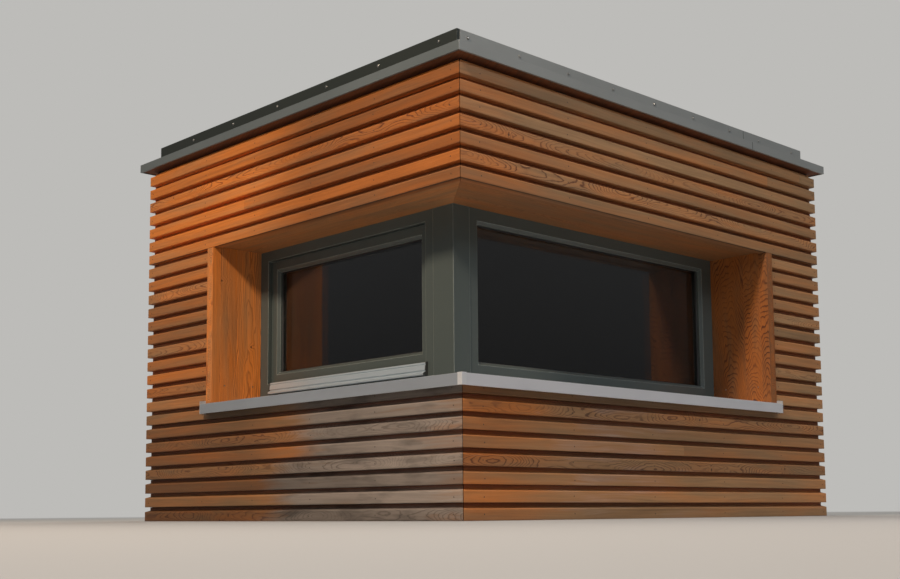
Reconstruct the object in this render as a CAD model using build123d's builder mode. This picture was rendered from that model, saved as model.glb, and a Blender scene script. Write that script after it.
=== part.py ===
from build123d import *
import os
from dataclasses import dataclass
from math import radians, tan

# Corner bay window wrapped round the outer corner of a house.
# It is clad in horizontal larch slats under a folded metal flashing, with an opening sash in the
# left wing and a fixed pane in the right wing. All sizes are in millimetres.
os.makedirs("parts", exist_ok=True)

# Overall sizes of the two wings, measured from the outer corner of the cladding
left_length = 2005
right_length = 2270
wall_left = 72
wall_right = 85
window_left = 241
window_right = 288

# Larch cladding boards laid in rows: a bevelled slat with a tongue behind it that closes the groove
slat_pitch = 60
slat_rows = 26
rows_over_head = 7
rows_under_sill = 8
slat_thick = 27
slat_face = 40
slat_height = 46
slat_edge_radius = 2
tongue_thick = 9
tongue_gap = 0.3
mitre_gap = 2
slat_end_gap = 2

# Battens, membrane and the vent strip behind the slats
batten_width = 50
batten_bays = 4
membrane_thick = 1
vent_low = 4
vent_thick = 2

# Opening for the windows and the larch boards that line it
opening_left = 1482
opening_right = 1844
board_thick = 42
board_proud = 3
board_clear = 1
soffit_lift = 4
bench_clear = 4
seat_gap = 0.3

# Timber window frames, sash and glass
frame_depth = 78
glass_thick = 24
glass_rebate = 12
glass_play = 0.3
sash_set_back = 18
sash_lip = 24
sash_width = 47
sash_play = 3
sash_flange = 15
sash_overlap = 12
left_stile = 95
left_mullion = 71
left_bottom_rail = 103
left_top_rail = 85
fixed_lip = 26
right_jamb = 124
right_mullion = 55
right_bottom_rail = 104
right_top_rail = 98
lip_bevel = 11
cover_thick = 3
cover_edge_radius = 2
cover_left = 108
cover_right = 83

# Aluminium drip rail on the frame under the sash
rail_height = 48
rail_reach = 20
rail_lift = 59
rail_nose = 8
rail_bevel = 12
rail_crown = 3
rail_overrun = 10
rail_inset = 24
rail_cap = 4
rail_cap_proud = 1

# Sloped aluminium sill
sill_slope = tan(radians(5))
sill_overhang = 30
sill_thick = 2
nosing_lift = 11
nosing_height = 40
nosing_return = 9
sill_upstand = 20
cap_lift = 1.5
cap_half_width = 15
end_cap_thick = 3
end_cap_lip = 12
end_cap_proud = 1

# Roof deck and folded flashing
flashing_thick = 1.5
flashing_overhang = 33
flashing_gap = 18
fascia_height = 34
upstand_height = 100
roof_slope = tan(radians(10))
drip_hem = 8
deck_lift = 4

# Inside of the wall
lining_thick = 12.5
inner_board_thick = 20
inner_board_reach = 70
inner_board_lift = 75

# Sash handle: a rose plate, a round neck and a flat lever
handle_length = 115
rose_centres = 40
rose_width = 26
rose_thick = 10
neck_radius = 9
lever_reach = 45
lever_width = 20
lever_thick = 12

# Derived heights and depths
slat_back = slat_thick + tongue_thick
head_slat_low = slat_pitch * (slat_rows - rows_over_head)
soffit_height = head_slat_low + soffit_lift
head_height = soffit_height + board_thick
bench_height = slat_pitch * (rows_under_sill - 1) + slat_height + bench_clear
nosing_top = bench_height + nosing_lift
rail_low = bench_height + rail_lift
inner_board_top = bench_height + inner_board_lift
inside_left = window_left + frame_depth
inside_right = window_right + frame_depth
slats_top = slat_pitch * (slat_rows - 1) + slat_height
flashing_low = slats_top + flashing_gap
deck_underside = flashing_low + deck_lift
fascia_top = flashing_low + fascia_height
top_height = fascia_top + upstand_height
foot = vent_low + vent_thick

# The origin is the middle of the footprint on the ground; every sketch is placed from the
# outer corner of the cladding.
corner = (left_length / 2, -right_length / 2, 0)
plan = Plane(origin=corner)
mitre = Plane(origin=corner, x_dir=(1, -1, 0), z_dir=(1, 1, 0))


@dataclass
class Wing:
    """One wing of the corner: its planes, its lengths and the side of the mitre it keeps."""

    name: str
    section: Plane
    elevation: Plane
    direction: int
    length: float
    wall: float
    window: float
    post: float
    opening: float
    keep: Keep

    def run(self, near, far):
        """Section plane and length of a piece that runs from near to far along the wing."""
        start = -far if self.direction < 0 else near
        return self.section.offset(start), far - near

    def middle(self, near, far, low, high):
        """Centre of a rectangle on the elevation, from near to far and from low to high."""
        return (self.direction * (near + far) / 2, (low + high) / 2)


left = Wing(
    "left",
    Plane(origin=corner, x_dir=(0, 1, 0), z_dir=(1, 0, 0)),
    Plane(origin=corner, x_dir=(1, 0, 0), z_dir=(0, -1, 0)),
    -1, left_length, wall_left, window_left, inside_right, opening_left, Keep.BOTTOM,
)
right = Wing(
    "right",
    Plane(origin=corner, x_dir=(-1, 0, 0), z_dir=(0, 1, 0)),
    Plane(origin=corner, x_dir=(0, 1, 0), z_dir=(1, 0, 0)),
    1, right_length, wall_right, window_right, inside_left, opening_right, Keep.TOP,
)
wings = (left, right)


def save(piece, label):
    """Label a finished piece and write it as its own file."""
    piece.part.label = label
    export_step(piece.part, f"parts/{label}.step")


def panel(wing, near, far, low, high):
    """Rectangle on a wing's elevation, from near to far along it and from low to high."""
    with Locations(wing.middle(near, far, low, high)):
        Rectangle(far - near, high - low)


def outline(*points):
    """Closed face through the given points of the current sketch."""
    Polygon(*points, align=None)


def sill_surface(depth):
    """Height of the top of the sill at a depth behind the cladding face."""
    return nosing_top + (depth + sill_overhang) * sill_slope


def roof_surface(depth):
    """Height of the top of the deck at a depth behind the cladding face."""
    return fascia_top - flashing_thick + (depth + flashing_overhang) * roof_slope


# Larch boards: a plain underside, a flat face, a top that rises inwards and sheds water, and a
# tongue that reaches up to the next board
def slat_outlines(rows):
    for row in rows:
        low = slat_pitch * (slat_rows - row)
        tongue_top = low + slat_pitch - tongue_gap
        if row == 1:
            tongue_top = low + slat_height
        outline((0, low), (slat_back, low), (slat_back, tongue_top), (slat_thick, tongue_top),
                (slat_thick, low + slat_height), (0, low + slat_face))


first_lower_row = slat_rows - rows_under_sill + 1
slat_zones = {
    "upper": range(1, rows_over_head + 1),
    "side": range(rows_over_head + 1, first_lower_row),
    "lower": range(first_lower_row, slat_rows + 1),
}
for wing in wings:
    board_back = wing.opening + board_thick
    for zone, rows in slat_zones.items():
        near = board_back + slat_end_gap if zone == "side" else 0
        start, reach = wing.run(near, wing.length)
        with BuildPart() as slats:
            with BuildSketch(start):
                slat_outlines(rows)
            extrude(amount=reach)
            long_edges = slats.edges().filter_by(Axis(corner, wing.section.z_dir))
            fillet([edge for edge in long_edges if wing.section.to_local_coords(edge.center()).X < 1],
                   radius=slat_edge_radius)
            if zone == "lower":
                with BuildSketch(wing.elevation.offset(-slat_thick)) as under_sill:
                    panel(wing, 0, board_back, bench_height - bench_clear, bench_height + slat_pitch)
                extrude(under_sill.sketch, amount=-tongue_thick, mode=Mode.SUBTRACT)
            if zone != "side":
                side_of_joint = wing.direction * mitre_gap / 2
                split(bisect_by=mitre.offset(side_of_joint), keep=wing.keep)
        save(slats, f"slats_{zone}_{wing.name}")

# Upright battens carry the slats: full height beside the opening, short ones under and over it
for wing in wings:
    board_back = wing.opening + board_thick
    back = wing.wall - membrane_thick
    pier_near = [board_back, wing.length - batten_width]
    bay = (wing.opening + board_thick - wing.wall) / batten_bays
    bay_near = [wing.wall + bay * step for step in range(batten_bays)]
    with BuildPart() as battens:
        with BuildSketch(wing.elevation.offset(-slat_back)):
            for near in pier_near:
                panel(wing, near, near + batten_width, foot, deck_underside)
            for near in bay_near[1:]:
                panel(wing, near, near + batten_width, foot, bench_height)
                panel(wing, near, near + batten_width, head_height, deck_underside)
        extrude(amount=-(back - slat_back))
        if wing is left:
            for low, high in ((foot, bench_height), (head_height, deck_underside)):
                with BuildSketch(plan.offset(low)):
                    outline((-wall_right, slat_back), (-slat_back, slat_back),
                            (-slat_back, back), (-wall_right, back))
                extrude(amount=high - low)
    save(battens, f"battens_{wing.name}")

# Black facade membrane over the wall panels, folded round the corner
with BuildPart() as membrane:
    for wing in wings:
        skin = wing.wall - membrane_thick
        other = wall_right if wing is left else wall_left
        with BuildSketch(wing.elevation.offset(-skin)):
            panel(wing, other - membrane_thick, wing.length, foot, deck_underside)
            with Locations(wing.middle(0, wing.opening + board_thick, bench_height, head_height)):
                Rectangle(wing.opening + board_thick, head_height - bench_height, mode=Mode.SUBTRACT)
        extrude(amount=-membrane_thick)
save(membrane, "facade_membrane")

# Perforated strip that closes the foot of the ventilated gap
with BuildPart() as vent_strip:
    with BuildSketch(plan.offset(vent_low)):
        outline((-left_length, slat_back), (-slat_back, slat_back), (-slat_back, right_length),
                (-wall_right, right_length), (-wall_right, wall_left), (-left_length, wall_left))
    extrude(amount=vent_thick)
save(vent_strip, "vent_strip")

# Insulated timber wall panels: a parapet, a lintel and an end pier in each wing
panel_inside = {"left": inside_left, "right": inside_right}
for wing in wings:
    near = wall_right if wing is left else inside_left
    thick = panel_inside[wing.name] - wing.wall
    bands = {
        "parapet": (near, wing.length, 0, bench_height),
        "lintel": (near, wing.length, head_height, top_height),
        "pier": (wing.opening + board_thick, wing.length, bench_height, head_height),
    }
    for band, (start, end, low, high) in bands.items():
        with BuildPart() as wall_panel:
            with BuildSketch(wing.elevation.offset(-wing.wall)):
                panel(wing, start, end, low, high)
            extrude(amount=-thick)
        save(wall_panel, f"{band}_{wing.name}")

# Plaster lining on the room side, with the window opening cut out
lining_low = inner_board_top - inner_board_thick
for wing in wings:
    inside = panel_inside[wing.name]
    near = inside_right if wing is left else inside_left + lining_thick
    with BuildPart() as lining:
        with BuildSketch(wing.elevation.offset(-inside)):
            panel(wing, near, wing.length, 0, top_height)
            with Locations(wing.middle(0, wing.opening, lining_low, soffit_height)):
                Rectangle(wing.opening, soffit_height - lining_low, mode=Mode.SUBTRACT)
        extrude(amount=-lining_thick)
    save(lining, f"inner_lining_{wing.name}")

# Corner post between the two windows and its folded cover
with BuildPart() as corner_post:
    with BuildSketch(plan.offset(bench_height)):
        outline((-inside_right, window_left), (-window_right, window_left),
                (-window_right, inside_left), (-inside_right, inside_left))
    extrude(amount=head_height - bench_height)
save(corner_post, "corner_post")

cover_x = -window_right + cover_thick
cover_y = window_left - cover_thick
cover_low = sill_surface(-cover_x) + seat_gap
with BuildPart() as corner_cover:
    with BuildSketch(plan.offset(cover_low)):
        outline((cover_x - cover_left, cover_y), (cover_x, cover_y), (cover_x, cover_y + cover_right),
                (-window_right, cover_y + cover_right), (-window_right, window_left),
                (cover_x - cover_left, window_left))
    extrude(amount=soffit_height - cover_low)
    outer_edge = corner_cover.edges().filter_by(Axis.Z).sort_by(Axis((0, 0, 0), (1, -1, 0)))[-1]
    fillet(outer_edge, radius=cover_edge_radius)
save(corner_cover, "corner_cover")


def ring_edges(builder, wing, depth, near, far, low, high):
    """Edges of a rectangular opening that lie on the plane at this depth."""
    found = []
    for edge in builder.edges():
        spot = wing.elevation.to_local_coords(edge.center())
        along = wing.direction * spot.X
        on_plane = abs(spot.Z + depth) < 0.01
        on_side = abs(along - near) < 0.01 or abs(along - far) < 0.01
        on_rail = abs(spot.Y - low) < 0.01 or abs(spot.Y - high) < 0.01
        inside = near - 0.01 < along < far + 0.01 and low - 0.01 < spot.Y < high + 0.01
        if on_plane and inside and (on_side or on_rail):
            found.append(edge)
    return found


def cut_opening(wing, depth, near, far, low, high, reach):
    """Cut a rectangular hole inwards from a depth."""
    with BuildSketch(wing.elevation.offset(-depth)) as hole:
        panel(wing, near, far, low, high)
    extrude(hole.sketch, amount=-reach, mode=Mode.SUBTRACT)


def grown(span, by):
    """Rectangle (near, far, low, high) grown by a margin on every side."""
    near, far, low, high = span
    return near - by, far + by, low - by, high + by


# Left window: frame, opening sash, glazing bead and pane
left_outer = (inside_right, opening_left + board_thick, bench_height, head_height)
left_clear = (inside_right + left_mullion, opening_left + board_thick - left_stile,
              bench_height + left_bottom_rail, head_height - left_top_rail)
with BuildPart() as frame_left:
    with BuildSketch(left.elevation.offset(-window_left)):
        panel(left, *left_outer)
    extrude(amount=-frame_depth)
    cut_opening(left, window_left, *left_clear, frame_depth)
save(frame_left, "window_frame_left")

sash_front = window_left + sash_set_back
sash_back = inside_left + seat_gap + sash_flange
sash_outer = grown(left_clear, -sash_play)
sash_light = grown(sash_outer, -sash_width)
sash_glass = grown(sash_light, glass_rebate)
with BuildPart() as sash:
    with BuildSketch(left.elevation.offset(-sash_front)):
        panel(left, *sash_outer)
    extrude(amount=-(sash_back - sash_front))
    with BuildSketch(left.elevation.offset(-(inside_left + seat_gap))):
        panel(left, *grown(left_clear, sash_overlap))
    extrude(amount=-sash_flange)
    cut_opening(left, sash_front, *sash_light, sash_lip)
    cut_opening(left, sash_front + sash_lip, *sash_glass, sash_back - sash_front)
    chamfer(ring_edges(sash, left, sash_front, *sash_light), length=lip_bevel)
save(sash, "sash_left")

# Right window: a fixed pane straight in its frame
right_outer = (inside_left, opening_right + board_thick, bench_height, head_height)
right_light = (inside_left + right_mullion, opening_right + board_thick - right_jamb,
               bench_height + right_bottom_rail, head_height - right_top_rail)
right_glass = grown(right_light, glass_rebate)
with BuildPart() as frame_right:
    with BuildSketch(right.elevation.offset(-window_right)):
        panel(right, *right_outer)
    extrude(amount=-frame_depth)
    cut_opening(right, window_right, *right_light, fixed_lip)
    cut_opening(right, window_right + fixed_lip, *right_glass, frame_depth)
    chamfer(ring_edges(frame_right, right, window_right, *right_light), length=lip_bevel)
save(frame_right, "window_frame_right")

glazing = (
    (left, sash_front + sash_lip, sash_light, sash_glass, sash_back),
    (right, window_right + fixed_lip, right_light, right_glass, inside_right),
)
for wing, glass_front, light, rebate, bead_back in glazing:
    with BuildPart() as glass:
        with BuildSketch(wing.elevation.offset(-glass_front)):
            panel(wing, *grown(rebate, -glass_play))
        extrude(amount=-glass_thick)
    save(glass, f"glass_{wing.name}")
    bead_front = glass_front + glass_thick
    with BuildPart() as bead:
        with BuildSketch(wing.elevation.offset(-bead_front)):
            panel(wing, *rebate)
            with Locations(wing.middle(*light)):
                Rectangle(light[1] - light[0], light[3] - light[2], mode=Mode.SUBTRACT)
        extrude(amount=-(bead_back - bead_front))
    save(bead, f"glazing_bead_{wing.name}")

# Aluminium drip rail: a stepped profile with a cap on each end
rail_near = left_clear[0] - rail_overrun
rail_far = left_clear[1] - rail_inset
start, reach = left.run(rail_near + rail_cap, rail_far - rail_cap)
rail_front = window_left - rail_reach
rail_step = window_left - rail_reach / 2
rail_top = rail_low + rail_height


def rail_outline(lift):
    """Section of the rail, grown outwards by a lift for its end caps."""
    outline((window_left, rail_low - lift), (rail_front - lift, rail_low - lift),
            (rail_front - lift, rail_low + rail_nose + lift),
            (rail_step - lift, rail_low + rail_nose + rail_bevel + lift),
            (rail_step - lift, rail_top - rail_nose + lift),
            (window_left - rail_crown, rail_top + lift), (window_left, rail_top + lift))


with BuildPart() as drip_rail:
    with BuildSketch(start):
        rail_outline(0)
    extrude(amount=reach)
    for near in (rail_near, rail_far - rail_cap):
        cap_start, cap_reach = left.run(near, near + rail_cap)
        with BuildSketch(cap_start):
            rail_outline(rail_cap_proud)
        extrude(amount=cap_reach)
save(drip_rail, "drip_rail")

# Larch boards at the sides of the opening; each stands on the sill
for wing in wings:
    start, reach = wing.run(wing.opening, wing.opening + board_thick)
    with BuildPart() as reveal_board:
        with BuildSketch(start):
            outline((-board_proud, sill_surface(-board_proud) + seat_gap),
                    (wing.window, sill_surface(wing.window) + seat_gap),
                    (wing.window, soffit_height), (slat_back + board_clear, soffit_height),
                    (slat_back + board_clear, head_slat_low - board_clear),
                    (-board_proud, head_slat_low - board_clear))
        extrude(amount=reach)
    save(reveal_board, f"reveal_board_{wing.name}")

# Larch boards over the opening, mitred from the cladding corner to the corner post
board_front = slat_back + board_clear
joint = (-board_front, board_front)
post_corner = (-window_right, window_left)
with BuildPart() as head_left:
    with BuildSketch(plan.offset(soffit_height)):
        outline((-opening_left - board_thick, board_front), joint, post_corner,
                (-opening_left - board_thick, window_left))
    extrude(amount=board_thick)
save(head_left, "head_board_left")

with BuildPart() as head_right:
    with BuildSketch(plan.offset(soffit_height)):
        outline((-board_front, opening_right + board_thick), joint, post_corner,
                (-window_right, opening_right + board_thick))
    extrude(amount=board_thick)
save(head_right, "head_board_right")


# Sills: one folded sheet in each wing on a sloped bed, mitred at the corner
def sill_outline(depth, lift):
    """Sheet with a nosing and a drip, its outer face raised by a lift."""
    front = -sill_overhang - lift
    low = nosing_top - nosing_height
    skin = sill_thick
    outline((depth, sill_surface(depth) + lift), (front, sill_surface(-sill_overhang) + lift),
            (front, low), (front + nosing_return, low), (front + nosing_return, low + skin),
            (front + skin, low + skin), (front + skin, sill_surface(front + skin) - skin),
            (depth, sill_surface(depth) - skin))


sill_depth = max(window_left, window_right) + cover_thick


def cut_building(edge):
    """Cut away the building behind an upright edge that stands at (x, y) from the corner."""
    x, y = edge
    far_x = -left_length - flashing_overhang
    far_y = right_length + flashing_overhang
    with BuildSketch(plan) as building:
        outline((x, y), (x, far_y), (far_x, far_y), (far_x, y))
    extrude(building.sketch, amount=top_height, mode=Mode.SUBTRACT)


for wing in wings:
    sill_end = wing.opening + board_thick
    start, reach = wing.run(-sill_overhang, sill_end)
    with BuildPart() as bed:
        with BuildSketch(start):
            outline((slat_thick, bench_height), (sill_depth, bench_height),
                    (sill_depth, sill_surface(sill_depth) - sill_thick),
                    (slat_thick, sill_surface(slat_thick) - sill_thick))
        extrude(amount=reach)
        split(bisect_by=mitre, keep=wing.keep)
        cut_building((-window_right, window_left))
    save(bed, f"sill_bed_{wing.name}")

    cover_end = {"left": -cover_x + cover_left, "right": cover_y + cover_right}[wing.name]
    with BuildPart() as sill:
        with BuildSketch(start):
            sill_outline(sill_depth, 0)
        extrude(amount=reach)
        split(bisect_by=mitre, keep=wing.keep)
        cut_building((-window_right, window_left))
        up_start, up_reach = wing.run(cover_end, wing.opening)
        with BuildSketch(up_start):
            outline((wing.window - sill_thick, sill_surface(wing.window) - sill_thick),
                    (wing.window, sill_surface(wing.window) - sill_thick),
                    (wing.window, sill_surface(wing.window) + sill_upstand),
                    (wing.window - sill_thick, sill_surface(wing.window) + sill_upstand))
        extrude(amount=up_reach)
    save(sill, f"sill_{wing.name}")

# Plastic end caps that close both outer ends of the sill
with BuildPart() as end_caps:
    for wing in wings:
        sill_end = wing.opening + board_thick
        start, reach = wing.run(sill_end, sill_end + end_cap_thick)
        cap_front = -sill_overhang - end_cap_proud
        cap_low = nosing_top - nosing_height - end_cap_proud
        with BuildSketch(start):
            outline((cap_front, cap_low), (-seat_gap, cap_low),
                    (-seat_gap, sill_surface(0) + end_cap_lip),
                    (cap_front, nosing_top + end_cap_lip))
        extrude(amount=reach)
save(end_caps, "sill_end_caps")

# Cap over the mitre of the sills, folded down over both nosings
cap_halves = []
for wing in wings:
    start, reach = wing.run(-sill_overhang - cap_lift, wing.post)
    front = -sill_overhang
    low = nosing_top - nosing_height
    with BuildPart() as cap_half:
        with BuildSketch(start):
            outline((sill_depth, sill_surface(sill_depth)), (front, sill_surface(front)),
                    (front, low), (front - cap_lift, low),
                    (front - cap_lift, sill_surface(front) + cap_lift),
                    (sill_depth, sill_surface(sill_depth) + cap_lift))
        extrude(amount=reach)
        split(bisect_by=mitre, keep=wing.keep)
        outer_side = Keep.TOP if wing is left else Keep.BOTTOM
        split(bisect_by=mitre.offset(wing.direction * cap_half_width), keep=outer_side)
        cut_building((cover_x + seat_gap, cover_y - seat_gap))
    cap_halves.append(cap_half.part)

with BuildPart() as corner_cap:
    add(cap_halves)
save(corner_cap, "sill_corner_cap")

# Sloped roof deck on the battens, and the folded flashing that covers it
wall_edge = (-wall_right, wall_left)
deck_front = flashing_thick - flashing_overhang
deck_depth = max(wall_left, wall_right)
sheet = flashing_thick
for wing in wings:
    start, reach = wing.run(deck_front, wing.length + flashing_overhang - sheet)
    with BuildPart() as deck:
        with BuildSketch(start):
            outline((deck_front, deck_underside), (deck_depth, deck_underside),
                    (deck_depth, roof_surface(deck_depth)), (deck_front, roof_surface(deck_front)))
        extrude(amount=reach)
        split(bisect_by=mitre, keep=wing.keep)
        cut_building(wall_edge)
    save(deck, f"roof_deck_{wing.name}")

    front = -flashing_overhang
    hem = front + drip_hem
    start, reach = wing.run(front, wing.length + flashing_overhang)
    end_start, end_reach = wing.run(wing.length + flashing_overhang - sheet,
                                    wing.length + flashing_overhang)
    corner_near = wall_right - sheet if wing is left else wall_right
    up_start, up_reach = wing.run(corner_near, wing.length + flashing_overhang)
    with BuildPart() as flashing:
        with BuildSketch(start):
            outline((deck_depth, roof_surface(deck_depth) + sheet), (front, fascia_top),
                    (front, flashing_low), (hem, flashing_low), (hem, flashing_low + sheet),
                    (front + sheet, flashing_low + sheet),
                    (front + sheet, roof_surface(front + sheet)),
                    (deck_depth, roof_surface(deck_depth)))
        extrude(amount=reach)
        split(bisect_by=mitre, keep=wing.keep)
        cut_building(wall_edge)
        with BuildSketch(end_start):
            outline((front, flashing_low), (wing.wall, flashing_low),
                    (wing.wall, roof_surface(wing.wall)), (front, fascia_top))
        extrude(amount=end_reach)
        with BuildSketch(up_start):
            outline((wing.wall - sheet, roof_surface(wing.wall)), (wing.wall, roof_surface(wing.wall)),
                    (wing.wall, top_height), (wing.wall - sheet, top_height))
        extrude(amount=up_reach)
        if wing is left:
            with BuildSketch(plan.offset(roof_surface(wall_right))):
                outline((-wall_right, wall_left - sheet), (sheet - wall_right, wall_left - sheet),
                        (sheet - wall_right, wall_right - sheet), (-wall_right, wall_right - sheet))
            extrude(amount=top_height - roof_surface(wall_right))
    save(flashing, f"flashing_{wing.name}")

# Boards under the windows on the room side
for wing in wings:
    inside = panel_inside[wing.name]
    near = inside_right if wing is left else inside_left + inner_board_reach
    with BuildPart() as inner_board:
        with BuildSketch(wing.elevation.offset(-inside)):
            panel(wing, near, wing.opening, inner_board_top - inner_board_thick, inner_board_top)
        extrude(amount=-inner_board_reach)
    save(inner_board, f"inner_board_{wing.name}")

# Handle on the room side of the sash
handle_spot = sash_outer[0] + (sash_width - glass_rebate) / 2
handle_high = (sash_outer[2] + sash_outer[3]) / 2
with BuildPart() as handle:
    with BuildSketch(left.elevation.offset(-sash_back)):
        with Locations(left.middle(handle_spot, handle_spot, handle_high, handle_high)):
            SlotCenterToCenter(rose_centres, rose_width, rotation=90)
    extrude(amount=-rose_thick)
    with BuildSketch(left.elevation.offset(-sash_back - rose_thick)):
        with Locations(left.middle(handle_spot, handle_spot, handle_high, handle_high)):
            Circle(neck_radius)
    extrude(amount=-lever_reach + rose_thick)
    with BuildSketch(left.elevation.offset(-sash_back - lever_reach)):
        with Locations(left.middle(handle_spot, handle_spot, handle_high - handle_length, handle_high)):
            SlotCenterToCenter(handle_length, lever_width, rotation=90)
    extrude(amount=-lever_thick)
save(handle, "sash_handle")
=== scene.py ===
# %% [markdown]
# # Corner bay window in slatted larch
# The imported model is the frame: every node already stands at its real place, in metres, with the
# outer corner of the cladding at (+X, -Y). This lesson dresses it: boards with grown grain, screws,
# panes, gaskets and finishes, and a plain studio round it.

# %% Load the frame
from functools import partial

import bpy
import numpy as np
from mathutils import Matrix, Vector


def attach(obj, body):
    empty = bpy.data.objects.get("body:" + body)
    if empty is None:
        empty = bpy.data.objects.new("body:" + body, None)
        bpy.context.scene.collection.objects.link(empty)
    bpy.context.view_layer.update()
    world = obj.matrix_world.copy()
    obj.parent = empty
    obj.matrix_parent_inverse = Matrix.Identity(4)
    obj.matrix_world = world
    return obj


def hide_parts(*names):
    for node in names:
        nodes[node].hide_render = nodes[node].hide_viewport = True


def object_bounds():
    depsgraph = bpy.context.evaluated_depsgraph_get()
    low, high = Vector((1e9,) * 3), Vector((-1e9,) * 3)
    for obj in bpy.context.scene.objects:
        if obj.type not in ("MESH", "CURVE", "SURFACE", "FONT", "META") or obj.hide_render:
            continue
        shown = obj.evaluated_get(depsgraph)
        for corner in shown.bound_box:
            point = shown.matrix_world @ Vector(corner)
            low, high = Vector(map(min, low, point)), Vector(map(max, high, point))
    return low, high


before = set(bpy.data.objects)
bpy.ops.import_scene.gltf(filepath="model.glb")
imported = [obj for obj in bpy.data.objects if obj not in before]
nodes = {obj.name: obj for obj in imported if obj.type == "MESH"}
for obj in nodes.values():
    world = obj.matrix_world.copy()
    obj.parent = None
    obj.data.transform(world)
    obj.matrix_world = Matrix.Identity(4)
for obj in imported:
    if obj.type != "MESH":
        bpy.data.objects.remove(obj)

cad_low, cad_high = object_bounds()
print(len(nodes), "nodes, box", [round(v, 3) for v in (cad_high - cad_low)])

# %% [markdown]
# Everything on this object is measured from the outer corner of the cladding. The left wing runs
# towards -X with its face to -Y, and the right wing runs towards +Y with its face to +X. One small
# function turns a place on a wing into a place in space, so that each piece below is written once
# and made for both wings.

# %% Places on the two wings
mm = 0.001
wings = ("left", "right")
flashing_proud = 33 * mm
corner_x, corner_y = cad_high.x - flashing_proud, cad_low.y + flashing_proud
wing_length = {"left": 2.005, "right": 2.270}
opening = {"left": 1.482, "right": 1.844}
window_depth = {"left": 0.241, "right": 0.288}
wall_depth = {"left": 0.072, "right": 0.085}
soffit, board_thick = 1.144, 0.042
sill_nosing, sill_front, sill_slope = 0.481, 0.030, np.radians(5)


def place(wing, along, depth, height):
    """Points of a wing in metres: along it from the corner, in behind its face, and up."""
    along, depth, height = np.broadcast_arrays(along, depth, height)
    if wing == "left":
        return np.stack([corner_x - along, corner_y + depth, height], -1)
    return np.stack([corner_x - depth, corner_y + along, height], -1)


def sill_top(depth):
    """Height of the sloped sill: it rises by the tangent of its slope from the nosing inwards."""
    return sill_nosing + (depth + sill_front) * np.tan(sill_slope)


print("corner of the cladding at", round(corner_x, 4), round(corner_y, 4))

# %% [markdown]
# Colours are written as sRGB hex values, as a paint card gives them, and one function turns them
# into the linear values that the shaders need. A second function adds a node with its settings and
# links, and a third fills a colour ramp.


# %% Colour and node helpers
def linear(code):
    """sRGB hex to linear: the low part is a straight line and the rest a power of 2.4."""
    srgb = np.array([int(code[i:i + 2], 16) for i in (1, 3, 5)]) / 255
    low = srgb / 12.92
    high = ((srgb + 0.055) / 1.055) ** 2.4
    return (*np.where(srgb <= 0.04045, low, high).tolist(), 1.0)


def add(tree, kind, *values, named=None, **settings):
    """Add one node with its settings and its links.

    kind is its type without ShaderNode in front, and for maths the operation behind it. The values
    fill the inputs that are in use, in order, and named fills inputs by their names. A value is a
    number, a colour, an output of another node, or a node, for its first output in use.
    """
    kind, _, operation = kind.partition(" ")
    node = tree.nodes.new("ShaderNode" + kind)
    if operation:
        node.operation = operation
    for name, value in settings.items():
        setattr(node, name, value)
    pairs = list(zip([socket for socket in node.inputs if socket.enabled], values))
    pairs += [(node.inputs[name], value) for name, value in (named or {}).items()]
    for socket, value in pairs:
        if isinstance(value, bpy.types.Node):
            value = next(output for output in value.outputs if output.enabled)
        if isinstance(value, bpy.types.NodeSocket):
            tree.links.new(value, socket)
        else:
            socket.default_value = value
    return node


def stops(ramp, *pairs):
    """Give a ramp node its stops as (place, hex colour) pairs, from low to high."""
    elements = ramp.color_ramp.elements
    while len(elements) < len(pairs):
        elements.new(1.0)
    for element, (at, code) in zip(elements, pairs):
        element.position = at
        element.color = linear(code)
    return ramp


def new_material(name):
    """An empty material, and the function above with its node tree filled in."""
    material = bpy.data.materials.new(name)
    material.use_nodes = True
    material.node_tree.nodes.clear()
    return material, partial(add, material.node_tree)


print("mid grey #808080 is", round(linear("#808080")[0], 4), "in linear light")

# %% [markdown]
# A sweep is the workhorse: a closed outline is carried along a path, one ring of points per
# station. The rings are one numpy array, so a whole slat is worked out at once. Several such bars
# are gathered in one mesh, each closed by a cap at both ends.


# %% Bars from rings of points
def outward(bar):
    """True if the faces of a bar look outwards.

    Its first cap, which is the first ring backwards, then faces away from its last ring: the
    area of the cap, as a vector, times the way from ring to ring is negative.
    """
    low, high = bar[0], bar[-1]
    area = np.cross(np.roll(low, -1, axis=0) - low.mean(0), low - low.mean(0)).sum(0)
    return area @ (high.mean(0) - low.mean(0)) < 0


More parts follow.
